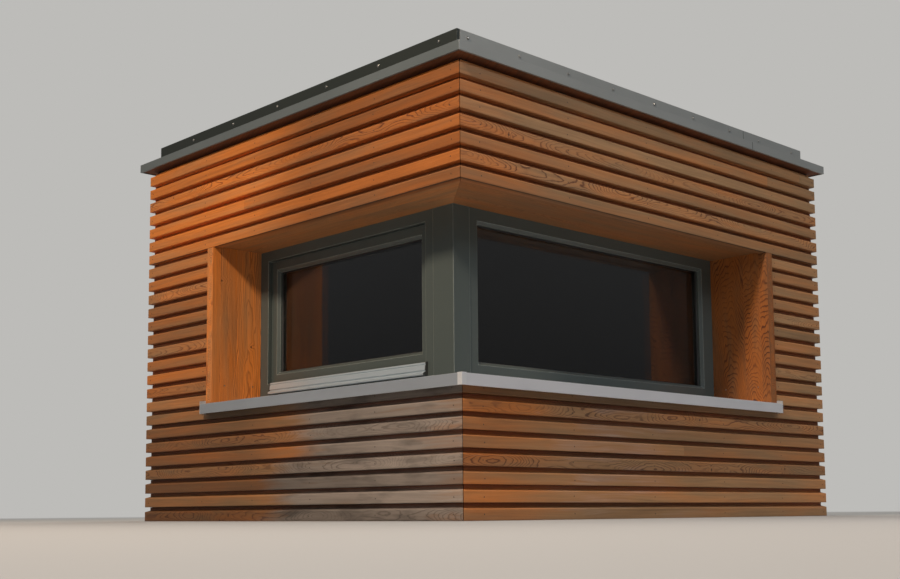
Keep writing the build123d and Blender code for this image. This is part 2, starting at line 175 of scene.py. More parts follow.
def bars_mesh(name, bars, material):
    """One piece from bars, each an array (stations, outline points, 3) that is closed by two caps.

    Wood comes as such an array with three more for its log, tone and marks fields. Quad (i, j)
    joins point j and j + 1 of ring i with the same points of ring i + 1. The caps are the first
    ring backwards and the last ring forwards. A bar whose faces would look inwards is turned
    round by running its outline backwards.
    """
    bars = [bar if isinstance(bar, tuple) else (bar,) for bar in bars]
    bars = [tuple(part if outward(bar[0]) else part[:, ::-1] for part in bar) for bar in bars]
    swept, *fields = zip(*bars)
    totals, loops, base = [], [], 0
    for bar in swept:
        rings, points, _ = bar.shape
        index = base + np.arange(rings * points).reshape(rings, points)
        ahead = np.roll(index, -1, axis=1)
        quads = np.stack([index[:-1], ahead[:-1], ahead[1:], index[1:]], -1).reshape(-1, 4)
        loops += [quads.ravel(), index[0][::-1], index[-1]]
        totals += [np.full(len(quads), 4), [points], [points]]
        base += rings * points
    verts = np.concatenate([bar.reshape(-1, 3) for bar in swept])
    loops = np.concatenate(loops).astype(np.int32)
    totals = np.concatenate(totals).astype(np.int32)
    starts = np.concatenate([[0], np.cumsum(totals)[:-1]]).astype(np.int32)
    mesh = bpy.data.meshes.new(name)
    mesh.vertices.add(len(verts))
    mesh.vertices.foreach_set("co", verts.ravel())
    mesh.loops.add(len(loops))
    mesh.loops.foreach_set("vertex_index", loops)
    mesh.polygons.add(len(totals))
    mesh.polygons.foreach_set("loop_start", starts)
    mesh.polygons.foreach_set("loop_total", totals)
    mesh.update(calc_edges=True)
    mesh.set_sharp_from_angle(angle=np.radians(38))
    for title, values in zip(("log", "tone", "marks"), fields):
        layer = mesh.attributes.new(title, "FLOAT_VECTOR", "POINT")
        layer.data.foreach_set("vector", np.concatenate([v.reshape(-1, 3) for v in values]).ravel())
    piece = bpy.data.objects.new(name, mesh)
    bpy.context.scene.collection.objects.link(piece)
    mesh.materials.append(material)
    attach(piece, "root")
    return piece


def rounded(corners, radii, steps=3):
    """Outline with rounded corners.

    Each corner becomes an arc from one tangent point to the other, drawn as a quadratic curve
    whose middle handle is the corner itself. Corners run anticlockwise.
    """
    corners = np.array(corners, float)
    before = np.roll(corners, 1, axis=0) - corners
    after = np.roll(corners, -1, axis=0) - corners
    before /= np.linalg.norm(before, axis=1)[:, None]
    after /= np.linalg.norm(after, axis=1)[:, None]
    radii = np.broadcast_to(np.array(radii, float), len(corners))[:, None]
    first, last = corners + before * radii, corners + after * radii
    t = np.linspace(0, 1, steps + 1)[None, :, None]
    first, middle, last = first[:, None], corners[:, None], last[:, None]
    return ((1 - t) ** 2 * first + 2 * t * (1 - t) * middle + t ** 2 * last).reshape(-1, 2)


square = [(0, 0), (1, 0), (1, 1), (0, 1)]
print("a square with round corners has", len(rounded(square, 0.1)), "points")

# %% [markdown]
# Larch is a softwood with strong rings: pale orange earlywood that ends in a thin, dark red-brown
# line of latewood. A board is a cut out of a trunk, so its pattern is the trunk's rings met by the
# faces of the board. Each board therefore carries a field called "log": for each point, how far it
# lies along the trunk and how far beside the pith. A board cut flat shows arches, one cut on the
# quarter shows straight lines, and the end grain comes out right by itself.
# A second field, "tone", holds how warm, how light and how weathered the board is there, and its
# lightness also carries painted light and shade. A third, "marks", holds how strong its rings are,
# how wide they are in centimetres and how much painted shade lies in its grooves.

# %% Grain fields
seeds = np.random.default_rng(26)


def log_field(along, across, inward, flat, climb=0.0):
    """Place of each point in its trunk, from where it is on its board.

    The pith runs along the board at a drawn distance behind the face. It wanders in slow waves,
    strongly in a board cut flat, where the rings then come out as nested arches. flat is True for
    a board cut flat and False for one cut on the quarter. climb is how steeply the pith leaves the
    face, which opens the arches one way.
    """
    behind = seeds.uniform(0.030, 0.055) if flat else seeds.uniform(-0.02, 0.02)
    beside = seeds.uniform(-0.010, 0.010) if flat else seeds.uniform(0.07, 0.13)
    tilt = seeds.uniform(-0.006, 0.006, 2) + (0.0, climb)
    phase = seeds.uniform(0, 6.28, 4)
    sway = 0.0040 * np.sin(along * 5.1 + phase[0]) + 0.0020 * np.sin(along * 13.7 + phase[1])
    heave = 0.0150 * np.sin(along * 6.9 + phase[2]) + 0.0060 * np.sin(along * 15.1 + phase[3])
    heave = heave * (1.0 if flat and not climb else 0.25)
    trunk = along + seeds.uniform(0, 90)
    across = across + beside + tilt[0] * along + sway
    inward = inward + behind + tilt[1] * along + heave
    return np.stack(np.broadcast_arrays(trunk, across, inward), -1)


def field(shape, *values):
    """Three values, each a number or an array, as one vector per point."""
    return np.stack([np.broadcast_to(v, shape) for v in values], -1).astype(float)


def ramp01(value, start, end):
    """Smooth step from 0 at start to 1 at end: three times the square less twice the cube."""
    t = np.clip((value - start) / (end - start), 0, 1)
    return t * t * (3 - 2 * t)


print("half way up a smooth step is", ramp01(0.5, 0, 1))

# %% [markdown]
# The shader reads those fields. Noise that is stretched along the trunk bends the rings, lets them
# fade and lays streaks, fibres and clouds over them. Fibres of larch are under 0.1 mm wide and its
# rings 2 to 3 mm, both finer than a pixel here, so the fibres are drawn 2.4 mm wide, and the rings
# 3 to 4 mm wide on the slats and 4 to 6 mm on the wide boards. Knots are spokes from the pith, so
# they are spots in the length and the angle, and the rings swell round them.

# %% Noise and knots of wood
# cycles a metre along, across and inwards, then octaves and roughness
wood_noise = {
    "wander": ((2.4, 9.0, 9.0), 2.0, 0.5),
    "wobble": ((34.0, 110.0, 110.0), 2.0, 0.5),
    "flames": ((5.0, 24.0, 24.0), 1.5, 0.5),
    "fading": ((2.1, 14.0, 14.0), 1.0, 0.5),
    "streak": ((1.6, 120.0, 120.0), 3.0, 0.55),
    "fibre": ((6.0, 420.0, 420.0), 2.0, 0.6),
    "cloud": ((2.6, 26.0, 26.0), 3.0, 0.5),
    "slow": ((1.1, 7.0, 7.0), 1.0, 0.5),
    "stain": ((5.0, 22.0, 22.0), 3.0, 0.5),
}
# a knot has a cell of 500 mm of length by 1.3 radians, which is 60 mm at 45 mm from the pith
cell_long, cell_round, cell_reach, knots_left_out = 0.5, 0.06, 0.045, 0.80


def knots(node, along, angle, strong):
    """How far the rings swell round the knots, and how dark the knots are.

    The nearest seed is found in cells of length and angle, and its distance is measured in metres.
    """
    around = node("Math MULTIPLY", angle, cell_reach)
    spokes = node("CombineXYZ", along, around)
    cells = node("VectorMath MULTIPLY", spokes, (1 / cell_long, 1 / cell_round, 1.0))
    seed = node("TexVoronoi", cells, 1.0, voronoi_dimensions="2D")
    away = node("VectorMath SUBTRACT", cells, seed.outputs["Position"])
    metric = node("VectorMath MULTIPLY", away, (cell_long, cell_round, 0.0))
    far = node("VectorMath LENGTH", metric)
    draw = node("SeparateColor", seed.outputs["Color"])
    kept = node("Math GREATER_THAN", draw, knots_left_out)
    swell = node("MapRange", far, 0.0, 24 * mm, 8 * mm, 0.0, interpolation_type="SMOOTHERSTEP")
    swell = node("Math MULTIPLY", swell, kept)
    knot = node("MapRange", far, 3 * mm, 6.5 * mm, 0.85, 0.0, interpolation_type="SMOOTHSTEP")
    knot = node("Math MULTIPLY", knot, kept)
    # on a board cut on the quarter a knot would lie in the face as a stripe; such boards have none
    clear = node("MapRange", strong, 0.50, 0.60)
    return swell, node("Math MULTIPLY", knot, clear)


print(len(wood_noise), "kinds of noise in wood")

# %% [markdown]
# The ring number is the distance from the pith, bent by the noise, divided by the ring width. Its
# fraction is the year: latewood darkens slowly and ends at once. Where a board is cut flat, the
# rings come out as nested arches and flames, which show in some stretches and fade in others.


# %% Rings of wood
def rings_and_knots(node, noise, log, strong, width):
    """How dark the latewood is at a point, and how dark a knot."""
    along, across, inward = node("SeparateXYZ", log).outputs
    reach = node("VectorMath LENGTH", node("CombineXYZ", across, inward))
    angle = node("Math ARCTAN2", across, inward)
    swell, knot = knots(node, along, angle, strong)
    bent = node("Math MULTIPLY_ADD", noise["wander"], 16 * mm, reach)
    bent = node("Math MULTIPLY_ADD", noise["wobble"], 2.2 * mm, bent)
    flames = node("Math MULTIPLY", noise["flames"], 24 * mm)
    bent = node("Math ADD", bent, node("Math MULTIPLY", flames, strong))
    bent = node("Math ADD", bent, swell)
    number = node("Math DIVIDE", bent, node("Math MULTIPLY", width, 10 * mm))
    latewood = stops(node("ValToRGB", node("Math FRACT", number)),
                     (0.0, "#101010"), (0.45, "#1c1c1c"), (0.68, "#6a6a6a"), (0.82, "#ffffff"),
                     (0.94, "#e8e8e8"), (1.0, "#101010"))
    shown = node("MapRange", noise["fading"], 0.38, 0.60, 0.40, 1.0)
    return node("Math MULTIPLY", node("Math MULTIPLY", latewood, strong), shown), knot


# %% [markdown]
# Oil keeps the earlywood orange. Where it has worn off, the wood is grey and rougher, so it loses
# its sheen. Streaks and fibres then make it lighter and darker along the board.


# %% Wood shader
def wood(name, early, late, rough=0.5, turn=None):
    """Wood whose rings are read from the log field, or from object coordinates turned to a log."""
    material, node = new_material(name)
    if turn is None:
        source, tone, marks = (node("Attribute", attribute_name=title).outputs["Vector"]
                               for title in ("log", "tone", "marks"))
    else:
        beside_pith = (0.0, 0.07, 0.16)
        source = node("Mapping", node("TexCoord").outputs["Object"], beside_pith, turn)
        tone, marks = node("CombineXYZ", 0.4, 0.5, 0.0), node("CombineXYZ", 0.5, 0.6, 0.0)
    warm, light, weather = node("SeparateXYZ", tone).outputs
    strong, width, groove_shade = node("SeparateXYZ", marks).outputs
    noise = {}
    for title, (cycles, octaves, roughness) in wood_noise.items():
        spread = node("VectorMath MULTIPLY", source, cycles)
        noise[title] = node("TexNoise", spread, 1.0, octaves, roughness)
    dark, knot = rings_and_knots(node, noise, source, strong, width)
    # slow clouds of colour
    warmth = node("Math MULTIPLY_ADD", noise["slow"], 0.6, -0.95)
    warmth = node("Math MULTIPLY_ADD", noise["cloud"], 1.3, warmth)
    warmth = node("Math ADD", warmth, warm)
    pale, deep = (node("Mix", warmth, linear(cool), linear(hot), data_type="RGBA")
                  for cool, hot in (early, late))
    ringed = node("Mix", dark, pale, deep, data_type="RGBA")
    # weathering: grey where the finish has worn, ragged along the fibres, with darker stains
    ragged = node("Math MULTIPLY_ADD", noise["cloud"], 1.1, weather)
    ragged = node("Math MULTIPLY_ADD", noise["streak"], 0.5, ragged)
    ragged = node("MapRange", ragged, 1.05, 1.60)
    grey = node("Mix", node("Math MULTIPLY", dark, 0.75), linear("#968a80"), linear("#50453c"),
                data_type="RGBA")
    colour = node("Mix", ragged, ringed, grey, data_type="RGBA")
    # dark knots, and painted shade that turns the grooves dark red-brown
    for share, code in ((knot, "#43200f"), (groove_shade, "#6e2c04")):
        colour = node("Mix", share, colour, linear(code), data_type="RGBA")
    stain = node("MapRange", noise["stain"], 0.50, 0.72, 0.0, 0.55)
    bare = node("Math SUBTRACT", 1.0, node("Math MULTIPLY", stain, ragged))
    # lightness: the board, its fibres, its clouds and its stains
    shade = 0.05
    for title, share in (("fibre", 0.30), ("streak", 0.66), ("cloud", 0.50), ("slow", 0.44)):
        shade = node("Math MULTIPLY_ADD", noise[title], share, shade)
    shade = node("Math MULTIPLY", shade, node("Math ADD", light, 0.45))
    colour = node("VectorMath SCALE", colour, node("Math MULTIPLY", shade, bare))
    gloss = node("Math MULTIPLY_ADD", ragged, 0.22, rough)
    gloss = node("Math MULTIPLY_ADD", noise["fibre"], 0.14, gloss)
    relief = node("Math MULTIPLY_ADD", noise["fibre"], 0.5, dark)
    bump = node("Bump", named={"Height": relief, "Strength": 0.3, "Distance": 0.6 * mm})
    surface = node("BsdfPrincipled", named={"Base Color": colour, "Roughness": gloss,
                                            "Normal": bump, "IOR": 1.5})
    node("OutputMaterial", surface)
    return material


quarter = np.pi / 2
# oiled larch has a satin sheen; sawn spruce is matt and pale, and the battens and the deck are
# spruce painted dark and matt as painted shade
oiled_larch = wood("oiled_larch", ("#a47e56", "#b86b29"), ("#4e2812", "#5c2307"))
spruce_along_x, spruce_along_y, spruce_upright = (
    wood(name, ("#c3a273", "#c79b66"), ("#94703f", "#8f6336"), 0.65, turn)
    for name, turn in (("spruce_along_x", (0.02, 0.01, 0.0)),
                       ("spruce_along_y", (0.01, 0.02, quarter)),
                       ("spruce_upright", (0.0, quarter, 0.0))))
shade_dark_batten = wood("shade_dark_spruce_batten", ("#17110c", "#1a120c"), ("#0f0b08", "#110b08"),
                      0.7, (0.0, quarter, 0.0))
shade_dark_deck = wood("shade_dark_spruce_deck", ("#6a3c1e", "#7a4018"), ("#3c1e0c", "#45200a"),
                    0.7, (0.02, 0.01, 0.4))
print("wood materials:", [m.name for m in bpy.data.materials])

# %% [markdown]
# The slats are planed larch boards. Each shows a 40 mm face and a top that rises inwards to shed
# water, and has a 9 mm tongue behind it that closes the groove up to the next board. They meet at
# the corner in a mitre with a dark joint of 2 mm. Each one is a sweep of the same outline, but no
# board is quite straight and no two are alike: each gets its own small lift and bow, its own cut
# from the trunk and its own tone. The lower rows near the corner are worn grey, where rain splashes
# reach them.

# %% Sizes of the slats
slat_pitch, slat_count = 0.060, 26
slat_thick, slat_face, slat_height = 0.027, 0.040, 0.046
slat_back, tongue_top = 0.036, 0.0597
slat_zones = {"upper": range(1, 8), "side": range(8, 19), "lower": range(19, 27)}
top_row, head_row, sill_row = 1, slat_zones["upper"][-1], slat_zones["lower"][0]
station_step, mitre_gap, butt_gap = 0.045, 1.41 * mm, 0.7 * mm
slat_outline = rounded([(0, 0), (slat_back, 0), (slat_back, tongue_top), (slat_thick, tongue_top),
                        (slat_thick, slat_height), (0, slat_face)],
                       np.array([2.0, 0.5, 0.5, 0.8, 0.8, 2.2]) * mm)
# two more points on the face keep the painted highlight of the arris and the darker lower edge
# narrow, and two on the underside do so for the painted shadow line behind the drip edge
slat_outline = np.vstack([slat_outline[:4], [(8 * mm, 0), (11 * mm, 0)], slat_outline[4:],
                          [(0, slat_face - 4.5 * mm), (0, 7 * mm)]])
butt_joints = {("right", 1): 2.143, ("right", 2): 1.877, ("right", 22): 1.210, ("left", 5): 1.262}
flat_cut = {"left": {3, 10, 14, 17, 21, 23, 26}, "right": {4, 6, 12, 16, 20, 23}}
print("outline of a slat:", len(slat_outline), "points")

# %% [markdown]
# Rain, sun and splashes give each part of the wall its own tone. High on the left wing the oil is
# warmest, and painted light makes it lighter along the wing; low on that wing painted shade makes
# it darker along the wing. The right wing is browner, partly as painted shade, and warm at the
# corner only.

# %% Tones of the slats
# lightness at the corner, how much painted light or painted shade it gains along the wing, warmth
# far along the wing, and how much it grows towards the corner
slat_tones = {
    ("left", "upper"): (0.21, 0.53, 0.95, 0.0),
    ("left", "side"): (0.44, 0.0, 0.65, 0.0),
    ("left", "lower"): (0.44, -0.34, 0.42, 0.0),
    ("right", "upper"): (0.44, 0.0, 0.16, 0.30),
    ("right", "side"): (0.50, 0.0, 0.16, 0.30),
    ("right", "lower"): (0.50, 0.06, 0.16, 0.45),
}
painted_light_span = {"left": (0.8, 1.3), "right": (1.1, 1.7)}
warm_spread = {"left": (-0.20, 0.15), "right": (-0.16, 0.22)}
# strength and width of the rings of a board that is cut flat or not
ring_draws = {True: ((0.75, 0.95), (0.30, 0.40)), False: ((0.10, 0.35), (0.28, 0.40))}


def slat_fields(wing, zone, row, along, depth, rise):
    """Tone and marks of a slat.

    Each is a sum of smooth steps along the wing, for the weather and for painted light, and round
    the outline, for the painted shade that turns the inside of the groove dark red-brown.
    """
    light, painted_light_gain, warm, warmer = slat_tones[wing, zone]
    ragged = seeds.uniform(-0.09, 0.09)
    light = light + seeds.uniform(-0.17, 0.17) + painted_light_gain * ramp01(along, *painted_light_span[wing])
    warm = warm + seeds.uniform(*warm_spread[wing]) + warmer * ramp01(along, 0.55, 0.15)
    low = zone == "lower"
    if wing == "left":
        # worn over the first metre, further in the lowest rows and less right at the corner
        edge = ragged + (1.18 if row > 22 else 0.96)
        worn = ramp01(along, edge + 0.10, edge - 0.30) * (1 - 0.30 * ramp01(along, 0.30, 0.02))
        weather = 0.95 * low * worn
        light = light - low * (0.06 + 0.12 * ramp01(along, 0.30, 0.55)) * worn
    else:
        # faintly worn half way along
        worn = ramp01(along - ragged, 0.34, 0.62) * ramp01(along - ragged, 1.50, 0.85)
        weather = 0.04 + 0.30 * low * worn
    # painted shadow of the sill: the row under it is darker and less warm
    sill_shadow = (row == sill_row) * ramp01(along - opening[wing], 0.06, 0.02)
    light, warm = light - 0.34 * sill_shadow, warm * (1 - 0.7 * sill_shadow)
    # painted shade in the groove: a little on the sloped top, and more on the underside and the
    # tongue
    top = (rise > slat_face - 1 * mm) & (depth < slat_thick - 0.5 * mm)
    under = rise < 0.5 * mm
    tongue = depth > slat_thick - 1 * mm
    groove = np.where(top, 0.45 * ramp01(depth, 4 * mm, 24 * mm), ramp01(depth, 2 * mm, 14 * mm))
    groove = np.where(under, np.clip((depth - 2 * mm) / (slat_back - 2.5 * mm), 0, 1), groove)
    # painted light: the foot of the tongue, out of the shadow of the slat above, is lighter and has
    # less painted shade
    lit_foot = tongue * ramp01(rise, slat_height + 8 * mm, slat_height)
    light, groove = light + 0.40 * lit_foot, groove * (1 - 0.60 * lit_foot)
    # a painted highlight along the arris at the top of the face, and the face darker at its lower
    # edge
    arris_highlight = ramp01(rise, slat_face - 4 * mm, slat_face - 2 * mm)
    lower_edge = ramp01(rise, 6 * mm, 2 * mm)
    light = light + (depth < 1 * mm) * (0.16 * arris_highlight - 0.10 * lower_edge)
    if row == head_row:
        # a painted shadow line between this last slat over the opening and the head board behind it
        shadow_line = 0.8 * under * ramp01(depth, 9.5 * mm, 8.5 * mm)
        light = light * (1 - shadow_line) - 0.38 * shadow_line
    if row == top_row:
        # its tongue has no board in front; it is painted lighter as painted light, with little
        # painted shade
        light, groove = light + 0.8 * tongue, groove * 0.2
    strength, width = (seeds.uniform(*span) for span in ring_draws[row in flat_cut[wing]])
    # less painted shade in the grooves high on the left wing
    groove_shade = 0.70 if (wing, zone) == ("left", "upper") else 0.82
    tone = field(along.shape, np.clip(warm, 0, 1), light, weather)
    return tone, field(along.shape, strength, width, groove_shade * groove)


print(len(slat_tones), "sets of tones")

# %% [markdown]
# A slat's rings stand 45 mm apart. At the mitre each point of the outline starts as far along the
# wing as it lies deep, which cuts the end at 45 degrees.


# %% Slats
def slat(wing, zone, row, start, end, mitred):
    """Rings of one slat from start to end, and its log, tone and marks fields.

    Each ring is the outline at one station. Two sines lift and bow the slat by under 1 mm.
    """
    board_end = opening[wing] + board_thick
    t = np.linspace(0, 1, max(6, int((end - start) / station_step)))
    if row == sill_row and start < board_end < end:
        t = np.sort(np.append(t, (board_end - start) / (end - start) + np.array([-1e-4, 1e-4])))
    depth, rise = slat_outline[None, :, 0], slat_outline[None, :, 1]
    first = np.maximum(start, depth + mitre_gap) if mitred else np.full_like(depth, start)
    along = first + t[:, None] * (end - first)
    # under the sill the tongue stops at the slat's top
    short = (along < board_end) & (row == sill_row)
    rise = np.where(short, np.minimum(rise, slat_height), rise)
    lift, bow, shift = seeds.uniform(-1, 1, 3) * (0.5 * mm, 0.5 * mm, 0.25 * mm)
    wave = seeds.uniform(0, 6.28)
    # the top of the tongue stays straight, because it meets the slat above
    free = 1 - ramp01(rise, 48 * mm, 58 * mm)
    bent = free * (lift + bow * np.sin(2.2 * along + wave))
    height = slat_pitch * (slat_count - row) + rise + bent
    inward = depth + shift + 0.2 * mm * np.sin(3.1 * along + wave)
    rings = place(wing, along, np.maximum(inward, 0.2 * mm), np.maximum(height, 0.2 * mm))
    log = log_field(along, rise - 0.02, np.broadcast_to(depth, along.shape), row in flat_cut[wing])
    return (rings, log, *slat_fields(wing, zone, row, along, depth, rise))


for wing in wings:
    for zone, rows in slat_zones.items():
        made = []
        start = opening[wing] + board_thick + 2 * mm if zone == "side" else 0.0
        for row in rows:
            ends = [butt_joints[wing, row]] if (wing, row) in butt_joints else []
            ends.append(wing_length[wing])
            for near, far in zip([start, *ends], ends):
                gap = 0.0 if near == start else butt_gap
                mitred = near == start and zone != "side"
                made.append(slat(wing, zone, row, near + gap, far, mitred))
        piece = bars_mesh(f"larch_slats_{zone}_{wing}", made, oiled_larch)
        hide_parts(f"slats_{zone}_{wing}")
        print(piece.name, len(made), "slats", len(piece.data.polygons), "faces")

# %% [markdown]
# The opening is lined with three-ply larch boards, 42 mm thick. Each ply is glued up from strips
# about 120 mm wide, and the grain of the middle ply runs across. Each strip is a sweep with its own
# cut from the trunk, so the glue lines and the plies show where the real ones do.


# %% Reveal boards
def strip(wing, section, start, end, upright, log, warm, light, strong, width):
    """Rings of one strip of board.

    section has the corners of its outline as (depth, height), or as (depth, along) if the strip
    stands upright. start gives the first station from the depth, and end is the last one. log is
    (cut flat or not, trunk across the sweep or not, climb). The stations of a strip count from its
    lowest one, so that climb opens the arches upwards.
    """
    outline = rounded(section, 0.35 * mm, steps=1)
    a, b = outline[None, :, 0], outline[None, :, 1]
    run = start(a) + np.linspace(0, 1, 16)[:, None] * (end - start(a))
    a, b = np.broadcast_to(a, run.shape), np.broadcast_to(b, run.shape)
    rings = place(wing, b, a, run) if upright else place(wing, run, a, b)
    across, inward = a - a.mean(), b - b.min()
    flat, swapped, climb = log
    if swapped:
        trunk = log_field(across, run, inward, flat)
    else:
        trunk = log_field(run - run.min(), across, inward, flat, climb)
    return rings, trunk, field(run.shape, warm, light, 0.0), field(run.shape, strong, width, 0.0)


plies = [(0.0, 0.0093), (0.0093, 0.0327), (0.0327, board_thick)]
middle_ply = 1
joint = 0.4 * mm
front = slat_back + 1 * mm
# warmth and lightness, ring width and how far the arches open
# the left board is painted lighter than the right as painted light
reveal_tone = {"left": (0.80, 1.08, 0.56, 0.03), "right": (0.90, 0.34, 0.50, 0.20)}
for wing in wings:
    back = window_depth[wing]
    warm, light, width, climb = reveal_tone[wing]
    made = []
    for number, (inner, outer) in enumerate(plies):
        near, far = opening[wing] + inner, opening[wing] + outer
        across = number == middle_ply
        # the front strip ends just under the slat over the opening, the others at the soffit
        edges = [front, back] if across else [front, 0.118 + 0.012 * number, back]
        spans = [(-0.003, front, soffit - 5.5 * mm)]
        spans += [(low, high, soffit) for low, high in zip(edges[:-1], edges[1:])]
        for low, high, top in spans:
            section = [(low, near), (high, near), (high, far), (low, far)]
            flat = not across and (wing == "right" or high == back)
            made.append(strip(wing, section, lambda depth: sill_top(depth) + joint, top, True,
                              (flat, across, climb), warm + seeds.uniform(-0.1, 0.1),
                              light + seeds.uniform(-0.06, 0.06) - 0.12 * (low < back / 2),
                              1.0, width))
    piece = bars_mesh(f"larch_reveal_{wing}", made, oiled_larch)
    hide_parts(f"reveal_board_{wing}")
    print(piece.name, len(made), "strips")

# %% [markdown]
# The head boards are made of the same strips, laid along the wing. The boards of the two wings meet
# on a slanting line from the corner of the cladding to the corner post of the windows, and they run
# on over the reveal boards.

# %% Head boards
head_light = {"left": 0.50, "right": 0.28}
for wing, other in zip(wings, wings[::-1]):
    back, end = window_depth[wing], opening[wing] + board_thick
    slope = (window_depth[other] - front) / (back - front)
    made = []
    for number, (low, high) in enumerate(plies):
        across = number == middle_ply
        middle = front + (back - front) * (0.5 + 0.12 * (number - 1))
        edges = [front, back] if across else [front, middle, back]
        for near, far in zip(edges[:-1], edges[1:]):
            section = [(near, soffit + low), (far, soffit + low), (far, soffit + high),
                       (near, soffit + high)]
            made.append(strip(wing, section, lambda depth: front + (depth - front) * slope + joint,
                              end, False, (not across, across, 0.0), 0.50,
                              head_light[wing] + seeds.uniform(-0.05, 0.05), 0.35, 0.4))
    piece = bars_mesh(f"larch_head_{wing}", made, oiled_larch)
    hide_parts(f"head_board_{wing}")
    print(piece.name, len(made), "strips")

# %% [markdown]
# Metal and paint are never quite even. Their roughness and colour are clouded, they carry a fine
# relief, and folded sheet has rounded edges that catch a line of light. Where a finish asks for it,
# a paler colour on that rounding is a painted highlight, and a darker colour from a height up is a
# painted shadow. One function makes all of them, and a value is left out where a finish doesn't
# have it.


# %% Metal and paint
def metal(name, colour, rough, metallic=1.0, scale=60.0, relief=0.2 * mm, spread=0.12,
          streak=(1.0, 1.0, 1.0), edge=0.0, edge_highlight=None, above=None):
    """Metal or paint with clouded roughness, a slightly clouded colour and a fine relief.

    The clouds have scale / 8 cycles a metre and the relief scale * 12, which is 1 to 7 mm, far
    coarser than real grit, because that wouldn't show. spread is how far the colour strays. edge is
    the radius of the rounding that folded sheet and milled edges have. The rim colour is a painted
    highlight, laid where that rounding turns away from the face. above is a height and the colour
    from there up, a painted shadow.
    """
    material, node = new_material(name)
    spot = node("TexCoord").outputs["Object"]
    drawn = node("Mapping", spot, named={"Scale": streak})
    cloud = node("TexNoise", drawn, scale / 8, 4.0)
    grain = node("TexNoise", drawn, scale * 12, 2.0)
    base = np.array(linear(colour)[:3])
    low, high = ((*(base * share), 1.0) for share in (1 - spread, 1 + spread))
    tint = node("Mix", cloud, low, high, data_type="RGBA")
    if above:
        over = node("Math GREATER_THAN", node("SeparateXYZ", spot).outputs["Z"], above[0])
        tint = node("Mix", over, tint, linear(above[1]), data_type="RGBA")
    gloss = node("MapRange", cloud, 0.3, 0.7, rough * 0.85, rough * 1.15)
    ripples = {"Height": grain, "Strength": 0.25, "Distance": relief}
    if edge:
        ripples["Normal"] = soft = node("Bevel", edge, samples=4)
    if edge_highlight:
        facing = node("VectorMath DOT_PRODUCT", soft, node("NewGeometry").outputs["Normal"])
        tint = node("Mix", node("MapRange", facing, 0.995, 0.93), tint, linear(edge_highlight),
                    data_type="RGBA")
    surface = node("BsdfPrincipled", named={
        "Base Color": tint, "Roughness": gloss, "Metallic": metallic,
        "Normal": node("Bump", named=ripples)})
    node("OutputMaterial", surface)
    return material


stainless = metal("stainless_steel_screw", "#a9a7a2", 0.32)
dull_steel = metal("dull_steel_screw", "#4a443d", 0.55, 0.6)
print("screws of", stainless.name, "and", dull_steel.name)

# %% [markdown]
# Small fasteners are turned parts: an outline in the radius and the height, carried round a circle.
# The slats are held by sunk screws at each batten, which have gone dull. The upstand of the
# flashing has bright pan-head screws with a sealing washer, and each reveal board two small sunk
# ones. Each kind shares one coarse outline, because there are hundreds.


# %% Screws
def turned(wing, along, depth, height, outline, facets, sideways=False):
    """Rings of a turned part whose axis leaves the face of the wing, or runs along it sideways.

    outline has (radius, standing proud) in millimetres. Each ring is a circle of facets points.
    """
    radius, proud = np.array(outline).T * mm
    angle = np.linspace(0, 2 * np.pi, facets, endpoint=False)
    u = radius[:, None] * np.cos(angle)
    v = radius[:, None] * np.sin(angle)
    w = np.broadcast_to(proud[:, None], u.shape)
    if sideways:
        return place(wing, along - w, depth + u, height + v)
    return place(wing, along + u, depth - w, height + v)


sunk_head = [(2.2, 0.0), (2.4, -0.2), (1.7, -0.5), (1.2, -1.2), (0.2, -1.4)]
pan_head = [(6.5, 0.0), (6.5, 0.9), (4.4, 1.1), (4.2, 2.6), (3.2, 3.5), (1.4, 3.8), (1.2, 2.9),
            (0.2, 2.9)]
reveal_head = [(3.2, 0.0), (3.2, 0.15), (1.9, 0.1), (1.5, -0.8), (0.2, -0.9)]
battens = {"left": [0.045, 0.4455, 0.819, 1.1925, 1.549, 1.980],
           "right": [0.097, 0.5505, 1.016, 1.4815, 1.911, 2.245]}
upstand_screws = {"left": [0.176, 0.504, 0.815, 1.136, 1.451, 1.763],
                  "right": [0.124, 0.387, 0.657, 0.923, 1.188, 1.455, 1.721, 1.951, 2.224]}
upstand_height = 1.675
reveal_screws = {"left": [(0.060, 0.560), (0.201, 0.564)],
                 "right": [(0.060, 0.556), (0.225, 0.557)]}
for wing in wings:
    heads = []
    for row in range(1, slat_count + 1):
        for along in battens[wing]:
            if row in slat_zones["side"] and along < opening[wing] + board_thick:
                continue
            height = slat_pitch * (slat_count - row) + slat_face / 2 + seeds.uniform(-3, 3) * mm
            spot = along + seeds.uniform(-5, 5) * mm
            heads.append(turned(wing, spot, -0.1 * mm, height, sunk_head, 10))
    bars_mesh(f"slat_screws_{wing}", heads, dull_steel)
    print(wing, len(heads), "slat screws")
for wing in wings:
    heads = [turned(wing, along, wall_depth[wing] - 1.5 * mm, upstand_height, pan_head, 14)
             for along in upstand_screws[wing]]
    bars_mesh(f"upstand_screws_{wing}", heads, stainless)
for wing in wings:
    heads = [turned(wing, opening[wing], depth, height, reveal_head, 12, sideways=True)
             for depth, height in reveal_screws[wing]]
    bars_mesh(f"reveal_screws_{wing}", heads, stainless)

# %% [markdown]
# The panes are sealed units: two sheets of float glass with a bar of dried air between them. The
# CAD slab stands for the whole unit, so two thin sheets and the spacer bar take its place. Float
# glass is smooth and nearly clear. The inner sheet is tinted deep as painted shade, which stands in
# for the dark room behind it. A rubber gasket runs round each face of the unit.


# %% Panes, spacers and gaskets
def plate(wing, near, far, front, back, low, high):
    """A flat box on a wing: its front and its back are the two rings of a sweep."""
    spots = [(near, low), (far, low), (far, high), (near, high)]
    return np.stack([[place(wing, along, depth, height) for along, height in spots]
                     for depth in (front, back)])


